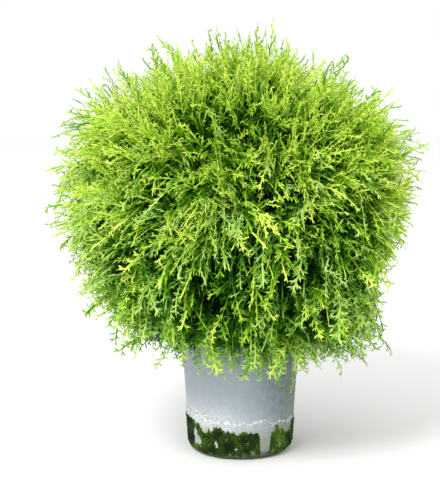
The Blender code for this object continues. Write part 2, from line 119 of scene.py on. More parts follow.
studioSettings = {
    "floorSize": 12.0,
    "floorColour": (250, 250, 250),
    "roomStrength": 1.0,
    "keyPlace": (-1.2, -2.2, 2.6),
    "keySize": 1.3,
    "keyPower": 85.0,
}


def addAreaLight(name, place, size, power, aim=(0.0, 0.0, 0.35)):
    lamp = bpy.data.lights.new(name, "AREA")
    lamp.shape = "DISK"
    lamp.size = size
    lamp.energy = power
    light = bpy.data.objects.new(name, lamp)
    light.location = place
    light.rotation_euler = (Vector(aim) - Vector(place)).to_track_quat("-Z", "Y").to_euler()
    bpy.context.scene.collection.objects.link(light)


def addStudio(settings):
    half = settings["floorSize"] / 2
    corners = [(-half, -half, 0.0), (half, -half, 0.0), (half, half, 0.0), (-half, half, 0.0)]
    floor = meshPiece("studioFloor", corners, [(0, 1, 2, 3)],
                      [plainMaterial("floorPale", settings["floorColour"], 0.9, 0.1)])
    world = bpy.data.worlds.new("studioRoom")
    bpy.context.scene.world = world
    world.use_nodes = True
    world.node_tree.nodes["Background"].inputs["Color"].default_value = (1.0, 1.0, 1.0, 1.0)
    world.node_tree.nodes["Background"].inputs["Strength"].default_value = settings["roomStrength"]
    addAreaLight("softKey", settings["keyPlace"], settings["keySize"], settings["keyPower"])
    bpy.context.scene.view_settings.view_transform = "Standard"


addCamera(cameraSettings)
addStudio(studioSettings)
print("camera and studio set")


# crown plan: the same named sizes and the same rule as the solids

crown = {
    "centre": np.array([0.0, 0.0, 0.360]),
    "radius": 0.271,
    "rise": 0.264,
    "drop": 0.245,
    "roundAbove": 2.05,
    "roundBelow": 2.2,
    "bulgeWidth": 11.0,
    "bulgeDepth": 0.45,
    "massDepth": 0.60,
    "soilTop": 0.158,
    "trunkTop": 0.405,
    "heartLow": 0.190,
    "heartHigh": 0.375,
    "heartRadius": 0.070,
    "rings": [  # name, elevation, how many, first azimuth, bough height, bough end elevation
        ("upper", 47.0, 5, -90.0, 0.334, 40.0),
        ("middle", 8.0, 7, -80.0, 0.272, -3.0),
        ("lower", -35.0, 6, -90.0, 0.206, -56.0),
    ],
    "bulges": [  # azimuth, elevation, share added to the reach
        (180.0, 12.0, 0.035), (180.0, 36.0, 0.070), (180.0, -22.0, 0.015), (180.0, -41.0, -0.100),
        (180.0, -62.0, 0.080), (0.0, 89.0, 0.030), (0.0, 66.0, -0.045), (0.0, 27.0, 0.055), (0.0, 4.0, -0.045),
        (0.0, -12.0, -0.140), (0.0, -30.0, -0.205), (0.0, -46.0, 0.135), (0.0, -68.0, 0.070),
    ],
}


def directionOf(azimuth, elevation):
    around = math.radians(azimuth)
    rise = math.radians(elevation)
    return np.array([math.cos(around) * math.cos(rise), math.sin(around) * math.cos(rise), math.sin(rise)])


def crownReach(directions):
    across = np.hypot(directions[..., 0], directions[..., 1]) / crown["radius"]
    up = directions[..., 2]
    above = across ** crown["roundAbove"] + (np.maximum(up, 0) / crown["rise"]) ** crown["roundAbove"]
    below = across ** crown["roundBelow"] + (np.maximum(-up, 0) / crown["drop"]) ** crown["roundBelow"]
    swell = 1.0
    flattened = unit(directions * np.array([1.0, crown["bulgeDepth"], 1.0]))
    for azimuth, elevation, gain in crown["bulges"]:
        near = np.clip(flattened @ directionOf(azimuth, elevation), -1.0, 1.0)
        away = np.degrees(np.arccos(near)) / crown["bulgeWidth"]
        swell = swell + gain * np.exp(-away * away)
    return swell * np.where(up > 0, above ** (-1 / crown["roundAbove"]), below ** (-1 / crown["roundBelow"]))


def trunkCentre(height):
    share = (height - crown["soilTop"]) / (crown["trunkTop"] - crown["soilTop"])
    lean = 0.0060 * share
    sway = 0.0030 * np.sin(2 * math.pi * share)
    return np.stack([sway - lean * 0.5, lean - sway * 0.4, np.asarray(height) + 0.0 * share], axis=-1)


def planMasses():
    masses = [{"name": "top", "direction": np.array([0.0, 0.0, 1.0]), "foot": None}]
    for ring, elevation, count, first, height, endElevation in crown["rings"]:
        for number in range(count):
            azimuth = first + 360.0 / count * number
            stagger = 0.020 * (number * 2 % count / (count - 1) - 0.5)
            masses.append({
                "name": f"{ring}_{number + 1}",
                "direction": directionOf(azimuth, elevation),
                "foot": trunkCentre(height + stagger),
                "boughHeading": directionOf(azimuth, endElevation),
            })
    for mass in masses:
        reach = float(crownReach(mass["direction"]))
        mass["centre"] = crown["centre"] + mass["direction"] * reach * crown["massDepth"]
        if mass["foot"] is None:
            mass["boughEnd"] = trunkCentre(crown["trunkTop"])
            continue
        distance = 0.0
        while True:
            point = crown["centre"] + mass["boughHeading"] * distance
            level = min(max(point[2], crown["heartLow"]), crown["heartHigh"])
            if np.linalg.norm(point - np.array([0.0, 0.0, level])) > crown["heartRadius"] - 0.008:
                break
            distance += 0.0005
        mass["boughEnd"] = point
        mass["boughBend"] = (mass["foot"] + point) / 2 - np.array([0.0, 0.0, 0.012])
    return masses


masses = planMasses()
centres = np.array([mass["centre"] for mass in masses])
print("crown planned,", len(masses), "masses")


# one leafy spray, drawn flat and one unit long: a main shoot, side shoots left and right, short fingers

spraySettings = {
    "variants": 16,
    "sideShoots": [13, 17],
    "firstSide": 0.08,
    "lastSide": 0.93,
    "sideAngle": 40.0,
    "sideLength": [0.09, 0.16],
    "forks": [2, 5],
    "forkAngle": 31.0,
    "forkLength": [0.24, 0.42],
    "fingerAngle": 42.0,
    "fingerLength": 0.078,
    "fingerEach": 0.100,
    "halfWidth": 0.0138,
    "flatHalfWidth": 0.0260,
    "ridge": 0.0150,
}

compactSettings = dict(spraySettings, sideShoots=[17, 20], sideLength=[0.13, 0.22], forks=[1, 4], forkAngle=36.0,
                       forkLength=[0.26, 0.38], fingerEach=0.090, halfWidth=0.0140)


def drawSpray(draw, settings):
    # each shoot: start x, y, heading, length, width factor, bow, lift, order
    knots = np.array([[share, draw.normal(0, 0.03) * share] for share in (0.0, 0.22, 0.45, 0.70, 1.0)])
    shoots = []
    for number in range(len(knots) - 1):
        step = knots[number + 1] - knots[number]
        shoots.append((*knots[number], math.atan2(step[1], step[0]), np.hypot(*step) * 1.05, 1.15 - 0.07 * number, 0.0, 0.0, 0))
    forks = int(draw.integers(*settings["forks"]))
    count = int(draw.integers(settings["sideShoots"][0], settings["sideShoots"][1] + 1)) - forks
    firstFork = int(draw.integers(0, 6))
    span = settings["lastSide"] - settings["firstSide"]
    for number in range(count):
        share = settings["firstSide"] + span * (number + draw.uniform(-0.25, 0.25)) / (count - 1)
        root = np.array([share, np.interp(share, knots[:, 0], knots[:, 1])])
        side = 1 if number % 2 else -1
        forked = firstFork <= number < firstFork + forks
        length = draw.uniform(*settings["forkLength"] if forked else settings["sideLength"])
        length = length * (1 - 0.40 * share) * draw.uniform(0.75, 1.2)
        angle = settings["forkAngle"] if forked else settings["sideAngle"] - 8 * share
        angle = side * math.radians(angle + draw.normal(0, 5))
        bow = -0.12 * side * draw.uniform(0.2, 1.4)
        lift = draw.normal(0, 0.12)
        shoots.append((*root, angle, length, 1.0, bow, lift, 1))
        fingers = int(length / settings["fingerEach"])
        for finger in range(fingers):
            place = 0.30 + 0.52 * (finger + draw.uniform(0.0, 0.5)) / fingers
            way = np.array([math.cos(angle), math.sin(angle)])
            foot = root + way * length * place + np.array([-way[1], way[0]]) * bow * length * place * place
            outer = 1 if finger % 2 == 0 else -1
            turn = side * outer * math.radians(settings["fingerAngle"] + draw.normal(0, 6))
            reach = settings["fingerLength"] * (1.15 - 0.4 * place) * draw.uniform(0.75, 1.2)
            shoots.append((*foot, angle + turn, reach, 0.92, draw.normal(0, 0.05), lift + draw.normal(0, 0.12), 2))
    return np.array(shoots)


def buildSpray(shoots, settings, full):
    # full: blunt shoots with a ridge along the upper side and folded fingers; otherwise flat lozenges for the shade
    points = []
    faces = []
    rows = []
    for number, (x, y, angle, length, wide, bow, lift, order) in enumerate(shoots if full else shoots[shoots[:, 7] < 2]):
        way = np.array([math.cos(angle), math.sin(angle), lift])
        across = np.array([-math.sin(angle), math.cos(angle), 0.0])
        up = np.array([0.0, 0.0, 1.0]) * wide * settings["ridge"]
        half = across * wide * settings["halfWidth" if full else "flatHalfWidth"]
        start = np.array([x, y, 0.0])
        blunt = full and (order == 0 or length > 0.15)
        middle = start + way * length * (0.70 if blunt else 0.50) + across * bow * length * 0.5
        end = start + way * length + across * bow * length
        if blunt:
            corners = [start + half * 0.7, start - half * 0.7, middle + half, middle - half, end, middle - way * length * 0.12 + up]
            pattern = [(0, 5, 2), (0, 1, 5), (1, 3, 5), (2, 5, 4), (5, 3, 4)]
            tips = [0, 0, 0, 1, 1]
        else:
            fold = up * 0.7 if full else 0.0
            corners = [start, middle + half - fold, middle - half - fold, end]
            pattern = [(0, 3, 1), (0, 2, 3)]
            tips = [1, 1]
        faces += [[corner + len(points) for corner in face] for face in pattern]
        points += corners
        rows += [(number, order, tip, x + math.cos(angle) * length) for tip in tips]
    points = np.array(points)
    points[:, 2] -= 0.35 * points[:, 1] ** 2
    rows = np.array(rows)
    return {"points": points, "faces": np.array(faces), "shoots": len(shoots), "shoot": rows[:, 0].astype(int),
            "order": rows[:, 1], "tip": rows[:, 2], "along": rows[:, 3]}


sprayDraw = np.random.default_rng(11)
sprayShapes = [drawSpray(sprayDraw, spraySettings) for number in range(spraySettings["variants"])]
fullSprays = [buildSpray(shoots, spraySettings, True) for shoots in sprayShapes]
flatSprays = [buildSpray(shoots, spraySettings, False) for shoots in sprayShapes]
compactShapes = [drawSpray(sprayDraw, compactSettings) for number in range(compactSettings["variants"])]
compactSprays = [buildSpray(shoots, compactSettings, True) for shoots in compactShapes]
print("compact sprays,", sum(len(spray["faces"]) for spray in compactSprays) // len(compactSprays), "triangles each")
print("sprays drawn,", sum(len(spray["faces"]) for spray in fullSprays) // len(fullSprays), "triangles each")


# leaf colours from deep shade to pale tips, warm for the upper crown and cooler for the lower

warmTints = [(8, 36, 0), (16, 54, 0), (29, 76, 0), (48, 103, 2), (75, 132, 8),
             (102, 158, 18), (134, 185, 36), (165, 207, 60), (194, 223, 79), (220, 237, 106)]
coolTints = [(8, 34, 2), (18, 54, 4), (32, 82, 8), (54, 110, 14), (85, 139, 31), (115, 167, 54), (150, 191, 82), (184, 213, 114)]
leafMaterials = [plainMaterial(f"leafWarm{number}", tint, 0.60, 0.12) for number, tint in enumerate(warmTints)]
leafMaterials += [plainMaterial(f"leafCool{number}", tint, 0.60, 0.12) for number, tint in enumerate(coolTints)]


# fronds: long shoots that carry sprays to left and right, spread evenly over the crown in two layers

frondSettings = {
    "outer": {"count": 1480, "seed": 33, "rootDepth": 0.62, "reachLow": 0.86, "reachHigh": 1.04,
              "sprays": 6, "sprayLength": 0.076, "terminalLength": 0.084, "firstSpray": 0.32},
    "filler": {"count": 430, "seed": 19, "rootDepth": 0.72, "reachLow": 0.86, "reachHigh": 0.97,
               "sprays": 5, "sprayLength": 0.066, "terminalLength": 0.070, "aside": [0.3, 1.3]},
    "inner": {"count": 190, "seed": 8, "rootDepth": 0.22, "reachLow": 0.64, "reachHigh": 0.86,
              "sprays": 9, "sprayLength": 0.085, "terminalLength": 0.080},
    "skirt": {"count": 620, "seed": 13, "rootDepth": 0.28, "reachLow": 0.50, "reachHigh": 0.84,
              "sprays": 8, "sprayLength": 0.070, "terminalLength": 0.060, "below": -0.42},
    "fringe": {"seed": 31, "tipRadius": 0.105, "rootRadius": 0.115, "rootHeight": 0.235, "sprays": 8,
               "sprayLength": 0.044, "terminalLength": 0.058, "firstSpray": 0.15,
               "tips": [  # azimuth from the front, height
                   (-84, 0.150), (-66, 0.142), (-49, 0.139), (-35, 0.134), (-23, 0.147), (-14, 0.131), (-5, 0.156),
                   (2, 0.133), (10, 0.150), (16, 0.123), (30, 0.118), (37, 0.140), (46, 0.102), (58, 0.146),
                   (70, 0.129), (90, 0.140), (112, 0.125), (135, 0.145), (160, 0.120), (183, 0.138), (208, 0.128),
                   (232, 0.146), (255, 0.132)]},
    "kept": [[-0.95, -0.6, 0.6, 1.0], [0.6, 1.0, 1.0, 0.7]],
    "liftAt": [-1.0, -0.6, -0.3, 0.0, 0.25, 0.6, 1.0],
    "lift": [0.30, -0.08, -0.20, -0.16, 0.12, 0.26, 0.3],
    "outAt": [-0.6, 0.0, 0.4, 1.0],
    "out": [1.0, 0.9, 0.9, 1.0],
    "flowScale": 2.6,
    "flowStart": 37.0,
    "flowNoise": 0.62,
    "lobeScale": 5.0,
    "lobeStart": 0.0,
    "lobeShare": 0.10,  # how far the lobes of the crown stand out or draw back
    "angleNear": 44.0,
    "angleTip": 24.0,
    "outOfPlane": 0.36,
    "potRadius": 0.097,
    "fringeRadius": 0.160,
    "potTop": 0.186,
}


def evenDirections(count):
    number = np.arange(count)
    height = 1 - 2 * (number + 0.5) / count
    across = np.sqrt(1 - height * height)
    around = number * math.pi * (3 - math.sqrt(5))
    return np.stack([across * np.cos(around), across * np.sin(around), height], axis=1)


def curve(root, bend, tip, share):
    share = np.asarray(share)[..., None]
    return (1 - share) ** 2 * root + 2 * share * (1 - share) * bend + share ** 2 * tip


def curveHeading(root, bend, tip, share):
    share = np.asarray(share)[..., None]
    return unit(2 * (1 - share) * (bend - root) + 2 * share * (tip - bend))


def lobes(direction, settings):
    place = Vector(direction * settings["lobeScale"] + settings["lobeStart"])
    return 1 + settings["lobeShare"] * noise.noise(place)


def planFronds(layer, settings):
    draw = np.random.default_rng(layer["seed"])
    up = np.array([0.0, 0.0, 1.0])
    fronds = []
    for direction in evenDirections(layer["count"]):
        direction = unit(direction + draw.normal(0, 0.045, 3))
        if direction[2] > layer.get("below", 1.0) or draw.random() > np.interp(direction[2], *settings["kept"]):
            continue
        open_ = float(smooth(0.55, 0.9, direction[2]))
        reach = float(crownReach(direction)) * draw.uniform(layer["reachLow"] - 0.08 * open_, layer["reachHigh"] + 0.03 * open_)
        reach = reach * lobes(direction, settings)
        tip = crown["centre"] + direction * reach
        if tip[2] < settings["potTop"] and math.hypot(tip[0], tip[1]) < settings["fringeRadius"]:
            continue
        owner = int(np.argmin(np.linalg.norm(centres - tip, axis=1)))
        lift = np.interp(direction[2], settings["liftAt"], settings["lift"])
        out = np.interp(direction[2], settings["outAt"], settings["out"])
        hang = float(smooth(-0.35, -0.80, direction[2]))
        flow = unit(np.array(noise.noise_vector(Vector(direction * settings["flowScale"] + settings["flowStart"]))))
        flow = flow * (1 - 0.7 * hang) + draw.normal(0, settings["flowNoise"], 3)
        tangent = unit(np.cross(direction, flow))
        aside = draw.uniform(*layer.get("aside", [0.15, 0.9])) * (1 - 0.2 * hang) * (1 - 0.5 * float(smooth(0.1, 0.6, direction[2])))
        heading = unit(direction * out + up * lift + tangent * aside)
        rootWay = unit(direction + masses[owner]["direction"] * 0.35 - up * lift * 0.55)
        root = crown["centre"] + rootWay * float(crownReach(rootWay)) * layer["rootDepth"]
        end = tip - heading * layer["terminalLength"] * 0.9
        bend = end - heading * np.linalg.norm(end - root) * 0.5
        outward = unit(direction * np.array([1.0, 1.0, 0.0]))
        facing = unit(np.cross(up, outward) * (0.8 - 0.4 * hang) + outward * (0.25 + 0.25 * hang) + draw.normal(0, 0.6, 3))
        side = unit(np.cross(facing, heading))
        fronds.append({"owner": owner, "root": root, "bend": bend, "end": end, "side": side, "heading": heading,
                       "direction": direction, "tone": draw.normal(0, 0.2)})
    return fronds


def planFringe(layer):
    # long shoots that hang over the rim, just clear of the pot's side
    draw = np.random.default_rng(layer["seed"])
    fronds = []
    for azimuth, height in layer["tips"]:
        outward = directionOf(azimuth - 90.0, 0.0)
        sideways = np.array([-outward[1], outward[0], 0.0])
        tip = outward * layer["tipRadius"] + np.array([0.0, 0.0, height])
        root = outward * layer["rootRadius"] + np.array([0.0, 0.0, layer["rootHeight"]])
        root = root + sideways * draw.normal(0, 0.02)
        heading = unit(tip - root + sideways * draw.normal(0, 0.02))
        end = tip - heading * layer["terminalLength"] * 0.9
        bend = (root + end) / 2 + outward * 0.012
        side = unit(np.cross(outward + draw.normal(0, 0.2, 3), heading))
        owner = int(np.argmin(np.linalg.norm(centres - root, axis=1)))
        fronds.append({"owner": owner, "root": root, "bend": bend, "end": end, "side": side, "heading": heading,
                       "direction": unit(tip - crown["centre"]), "tone": draw.normal(0, 0.2)})
    return fronds


def planSprays(fronds, layer, settings):
    draw = np.random.default_rng(layer["seed"] + 1)
    first = layer.get("firstSpray", 0.20)
    rows = []
    for frond in fronds:
        count = layer["sprays"]
        for number in range(count + 1):
            terminal = number == count
            share = 1.0 if terminal else first + (0.96 - first) * (number + draw.uniform(-0.25, 0.25)) / count
            start = curve(frond["root"], frond["bend"], frond["end"], share)
            heading = curveHeading(frond["root"], frond["bend"], frond["end"], share)
            side = unit(frond["side"] - heading * np.dot(frond["side"], heading))
            normal = np.cross(heading, side)
            if terminal:
                out = frond["heading"]
                length = layer["terminalLength"] * draw.uniform(0.8, 1.2)
            else:
                turn = settings["angleNear"] + (settings["angleTip"] - settings["angleNear"]) * share
                turn = math.radians(turn + draw.normal(0, 7)) * (1 if number % 2 else -1)
                out = heading * math.cos(turn) + side * math.sin(turn) + normal * draw.normal(0, settings["outOfPlane"])
                out = unit(out)
                length = layer["sprayLength"] * (1.0 - 0.28 * share) * draw.uniform(0.72, 1.18)
            rows.append((start, out, normal, frond["direction"], length, frond["owner"], frond["tone"]))
    return rows


def finishSprays(rows, settings):
    # bend each spray under its own weight, keep it in the crown and off the pot
    draw = np.random.default_rng(23)
    start = np.array([row[0] for row in rows])
    out = np.array([row[1] for row in rows])
    normal = np.array([row[2] for row in rows])
    way = np.array([row[3] for row in rows])
    length = np.array([row[4] for row in rows])[:, None]
    down = np.array([[0.0, 0.0, -1.0]])
    droop = np.interp(way[:, 2], [-1.0, -0.3, 0.1, 0.5, 0.8, 1.0], [0.22, 0.26, 0.32, 0.32, 0.10, -0.05])[:, None]
    droop = droop * draw.uniform(0.4, 1.5, (len(rows), 1))
    tip = start + unit(out + down * droop) * length
    fromCentre = tip - crown["centre"]
    limit = crownReach(unit(fromCentre)) * (draw.uniform(0.96, 1.07, len(rows)) - 0.04 * smooth(0.7, 0.95, way[:, 2]))
    limit = limit * np.array([lobes(direction, settings) for direction in unit(fromCentre)])
    tip = crown["centre"] + fromCentre * np.minimum(1.0, limit / np.linalg.norm(fromCentre, axis=1))[:, None]
    wander = normal * draw.normal(0, 0.06, (len(rows), 1)) * length
    bend = start + (tip - start) * 0.5 - down * droop * length * 0.55 + wander
    middle = (start + tip) / 2 - crown["centre"]
    fromCentre = tip - crown["centre"]
    rootFromCentre = start - crown["centre"]
    inPot = [(end[:, 2] < settings["potTop"]) & (np.hypot(end[:, 0], end[:, 1]) < settings["potRadius"] - 0.003)
             for end in (start, bend, tip)]
    return {"start": start, "bend": bend, "tip": tip, "normal": normal, "keep": ~(inPot[0] | inPot[1] | inPot[2]),
            "depth": np.linalg.norm(middle, axis=1) / crownReach(unit(middle)), "height": tip[:, 2],
            "rootDepth": np.linalg.norm(rootFromCentre, axis=1) / crownReach(unit(rootFromCentre)),
            "tipDepth": np.linalg.norm(fromCentre, axis=1) / crownReach(unit(fromCentre)),
            "owner": np.array([row[5] for row in rows]), "tone": np.array([row[6] for row in rows]),
            "compact": tip[:, 2] < draw.uniform(0.22, 0.34, len(rows))}


noise.seed_set(2)
fronds = {}
sprayRows = []
for layerName in ("outer", "filler", "inner", "skirt"):
    fronds[layerName] = planFronds(frondSettings[layerName], frondSettings)
    sprayRows += planSprays(fronds[layerName], frondSettings[layerName], frondSettings)
fronds["fringe"] = planFringe(frondSettings["fringe"])
sprayRows += planSprays(fronds["fringe"], frondSettings["fringe"], frondSettings)
sprayPlan = finishSprays(sprayRows, frondSettings)
print("planned", sum(len(layer) for layer in fronds.values()), "fronds with", len(sprayRows), "sprays")

toneSettings = {
    # tint level by depth in the crown: painted shade, darker the deeper a spray lies, and darker again on sprays
    # standing out past the crown's edge
    "levelAt": [0.60, 0.72, 0.80, 0.87, 0.93, 0.99, 1.06],
    "level": [0.3, 1.0, 2.5, 4.9, 7.2, 8.4, 6.6],
    # painted light from above: high sprays count as shallower and get lighter tints, low ones deeper and darker
    "heightAt": [0.13, 0.17, 0.22, 0.28, 0.36, 0.46, 0.56],
    "paintedLightByHeight": [-0.01, -0.02, -0.015, -0.005, 0.035, 0.09, 0.13],
    "spread": 0.6,
    "shootSpread": 0.75,
    "axisGain": 0.9,
    "tipGain": 1.5,
    "base": -0.6,
    "fullFrom": 0.72,
    "fullBelow": 0.20,
    "sag": 0.3,
}


def growSprays(plan, chosen, shapes, draw, base):
    # lay every chosen spray along its own curve, all copies of one shape at once
    settings = toneSettings
    points = []
    faces = []
    slots = []
    variant = draw.integers(0, len(shapes), len(chosen))
    for number, spray in enumerate(shapes):
        picked = chosen[variant == number]
        if len(picked) == 0:
            continue
        root = plan["start"][picked][:, None, :]
        bend = plan["bend"][picked][:, None, :]
        tip = plan["tip"][picked][:, None, :]
        share = np.clip(spray["points"][None, :, 0], 0.0, 1.2)
        place = curve(root, bend, tip, share)
        heading = curveHeading(root, bend, tip, np.clip(share, 0.0, 1.0))
        face = plan["normal"][picked] + draw.normal(0, 0.5, (len(picked), 3))
        across = unit(np.cross(heading, face[:, None, :]))
        above = np.cross(across, heading)
        length = np.linalg.norm(tip - root, axis=2)[..., None]
        flip = np.where(draw.random(len(picked)) < 0.5, -1.0, 1.0)[:, None, None]
        broad = np.interp(plan["height"][picked], [0.17, 0.26, 0.40, 0.54], [1.2, 1.15, 1.05, 1.0])
        broad = broad * draw.uniform(0.85, 1.2, len(picked))
        broad = broad[:, None, None]
        place = place + across * (spray["points"][None, :, 1, None] * flip * broad) * length
        place = place + above * spray["points"][None, :, 2, None] * length
        sag = settings["sag"] * smooth(0.62, 0.42, plan["height"][picked])[:, None]
        place[:, :, 2] -= sag * spray["points"][None, :, 1] ** 2 * length[:, :, 0]
        count = place.shape[1]
        points.append(place.reshape(-1, 3))
        turned = np.where(flip < 0, spray["faces"][None, :, ::-1], spray["faces"][None])
        faces.append((turned + (base + np.arange(len(picked)) * count)[:, None, None]).reshape(-1, 3))
        base += len(picked) * count

        # painted shade by depth: sprays and shoots deeper in the crown get darker tints
        rootDepth = plan["rootDepth"][picked][:, None]
        tipDepth = plan["tipDepth"][picked][:, None]
        depth = rootDepth + (tipDepth - rootDepth) * spray["along"][None, :]
        # painted light from above: shift the depth by height
        depth = depth + np.interp(plan["height"][picked], settings["heightAt"], settings["paintedLightByHeight"])[:, None]
        level = np.interp(depth, settings["levelAt"], settings["level"])
        # painted shade: sprays low in the crown get darker tints
        level = level * np.interp(plan["height"][picked], [0.15, 0.34], [0.84, 1.0])[:, None]
        strength = np.clip(level / 5.0, 0.0, 1.0)
        bySpray = plan["tone"][picked] + draw.normal(0, settings["spread"], len(picked))
        byShoot = draw.normal(0, settings["shootSpread"], (len(picked), spray["shoots"]))
        lively = settings["axisGain"] * (spray["order"] < 1) + settings["tipGain"] * spray["tip"] + settings["base"]
        level = level + (bySpray[:, None] + byShoot[:, spray["shoot"]] + lively[None, :]) * strength
        warm = np.clip(np.floor(level), 0, len(warmTints) - 1)
        cool = len(warmTints) + np.clip(np.floor(level * 0.88), 0, len(coolTints) - 1)
        coolShare = np.interp(plan["height"][picked], [0.14, 0.26, 0.36, 0.48], [0.60, 0.60, 0.34, 0.03])
        isCool = draw.random(len(picked)) < coolShare
        slots.append(np.where(isCool[:, None], cool, warm).reshape(-1))
    return [points, faces, slots]


def addFoliage():
    total = 0
    for number, mass in enumerate(masses):
        own = (sprayPlan["owner"] == number) & sprayPlan["keep"]
        near = (sprayPlan["depth"] > toneSettings["fullFrom"]) | (sprayPlan["height"] < toneSettings["fullBelow"])
        draw = np.random.default_rng(180 + number)
        compact = sprayPlan["compact"]
        grown = [[], [], []]
        for chosen, shapes in ((near & ~compact, fullSprays), (near & compact, compactSprays), (~near, flatSprays)):
            base = sum(len(block) for block in grown[0])
            kind = growSprays(sprayPlan, np.nonzero(own & chosen)[0], shapes, draw, base)
            grown = [before + added for before, added in zip(grown, kind)]
        points, faces, slots = [np.concatenate(blocks) for blocks in grown]
        piece = meshPiece(f"leaves_{mass['name']}", points, faces, leafMaterials, slots, flat=True)
        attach(piece, "root")
        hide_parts(f"foliage_{mass['name']}")
        total += len(faces)
    print("leaves grown,", total, "triangles")


addFoliage()


# wood: trunk, boughs, stems and frond twigs

def barkMaterial(name, dark, light, scale):
    material = bpy.data.materials.new(name)
    material.use_nodes = True
    nodes = material.node_tree.nodes
    links = material.node_tree.links
    shader = nodes["Principled BSDF"]
    shader.inputs["Roughness"].default_value = 0.85
    shader.inputs["Specular IOR Level"].default_value = 0.2
    coordinates = nodes.new("ShaderNodeTexCoord")
    stretch = nodes.new("ShaderNodeMapping")
    stretch.inputs["Scale"].default_value = (1.0, 1.0, 0.18)
    grain = nodes.new("ShaderNodeTexNoise")
    grain.inputs["Scale"].default_value = scale
    grain.inputs["Detail"].default_value = 6.0
    colours = nodes.new("ShaderNodeValToRGB")
    colours.color_ramp.elements[0].position = 0.35
    colours.color_ramp.elements[0].color = linear(dark)
    colours.color_ramp.elements[1].position = 0.68
    colours.color_ramp.elements[1].color = linear(light)
    bump = nodes.new("ShaderNodeBump")
    bump.inputs["Strength"].default_value = 0.5
    bump.inputs["Distance"].default_value = 0.0006
    links.new(coordinates.outputs["Object"], stretch.inputs["Vector"])
    links.new(stretch.outputs["Vector"], grain.inputs["Vector"])
    links.new(grain.outputs["Fac"], colours.inputs["Fac"])
    links.new(colours.outputs["Color"], shader.inputs["Base Color"])
    links.new(grain.outputs["Fac"], bump.inputs["Height"])
    links.new(bump.outputs["Normal"], shader.inputs["Normal"])
    return material


woodSettings = {
    "trunkFlare": 0.0135,
    "trunkFoot": 0.0088,
    "trunkTip": 0.0042,
    "trunkRings": 150,
    "trunkSides": 56,
    "ridgeDepth": 0.0007,
    "boughFoot": 0.0031,
    "boughTip": 0.0019,
    "boughRings": 40,
    "boughSides": 14,
}


def limbPoints(path, radii, sides, relief, seed):
    # rings of points round a path, with furrowed bark pushed in and out
    count = len(path)
    ahead = unit(np.gradient(path, axis=0))
    side = np.array([0.31, 0.95, 0.07])
    points = []
    for ring in range(count):
        side = side - ahead[ring] * np.dot(side, ahead[ring])
        side = side / np.linalg.norm(side)
        across = np.cross(ahead[ring], side)
        for corner in range(sides):
            turn = 2 * math.pi * corner / sides
            out = side * math.cos(turn) + across * math.sin(turn)
            furrow = noise.noise(Vector((math.cos(turn) * 3.4, math.sin(turn) * 3.4, seed + path[ring][2] * 26.0)))
            fine = noise.noise(Vector((math.cos(turn) * 8.0, math.sin(turn) * 8.0, seed + path[ring][2] * 90.0)))
            points.append(path[ring] + out * (radii[ring] + relief * (furrow + 0.45 * fine)))
    return np.array(points)


def limbFaces(count, sides, offset):
    ring, corner = np.meshgrid(np.arange(count - 1), np.arange(sides), indexing="ij")
    following = (corner + 1) % sides
    low = offset + ring * sides
    quads = np.stack([low + corner, low + following, low + sides + following, low + sides + corner], axis=-1)
    quads = quads.reshape(-1, 4)
    return np.concatenate([quads[:, [0, 1, 2]], quads[:, [0, 2, 3]]])


def capFaces(first, sides, flip):
    fan = [(first, first + corner, first + corner + 1) for corner in range(1, sides - 1)]
    fan = np.array(fan)
    return fan[:, ::-1] if flip else fan


def addLimbs(name, limbs, material, nodes):
    points = []
    faces = []
    offset = 0
    for path, radii, sides, relief, seed in limbs:
        points.append(limbPoints(path, radii, sides, relief, seed))
        faces.append(limbFaces(len(path), sides, offset))
        faces.append(capFaces(offset, sides, True))
        faces.append(capFaces(offset + (len(path) - 1) * sides, sides, False))
        offset += len(path) * sides
    piece = meshPiece(name, np.concatenate(points), np.concatenate(faces), [material])
    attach(piece, "root")
    if nodes:
        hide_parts(*nodes)
    return piece


